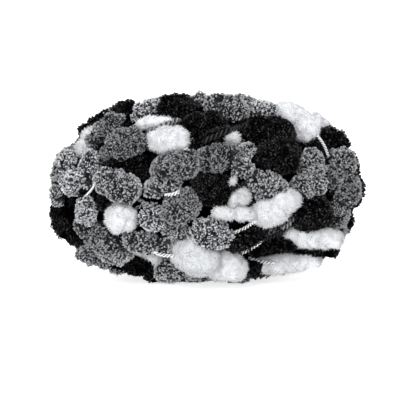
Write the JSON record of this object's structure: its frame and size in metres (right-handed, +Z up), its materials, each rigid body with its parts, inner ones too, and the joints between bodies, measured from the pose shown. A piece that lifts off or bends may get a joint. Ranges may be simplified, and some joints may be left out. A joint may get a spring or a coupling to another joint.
{
  "type": "ball of pompom yarn",
  "caption": "Oval ball of pompom yarn: plush puffs in black, grey and white strung on a thin twisted binder thread and wound up, resting on a flattened underside.",
  "frame": {"origin": "on the surface that the ball rests on, below the middle of its bounding box", "axes": "+X along the ball's length, to the picture's right; +Z up; -Y toward the side that the picture shows"},
  "size_m": [0.1996, 0.121, 0.1203],
  "materials": {
    "plush_yarn": "soft plush microfibre puffs in mid grey, black and white, with a matt two-ply binder thread"
  },
  "bodies": {
    "root": {"wound_ball": "plush_yarn"}
  },
  "joints": []
}
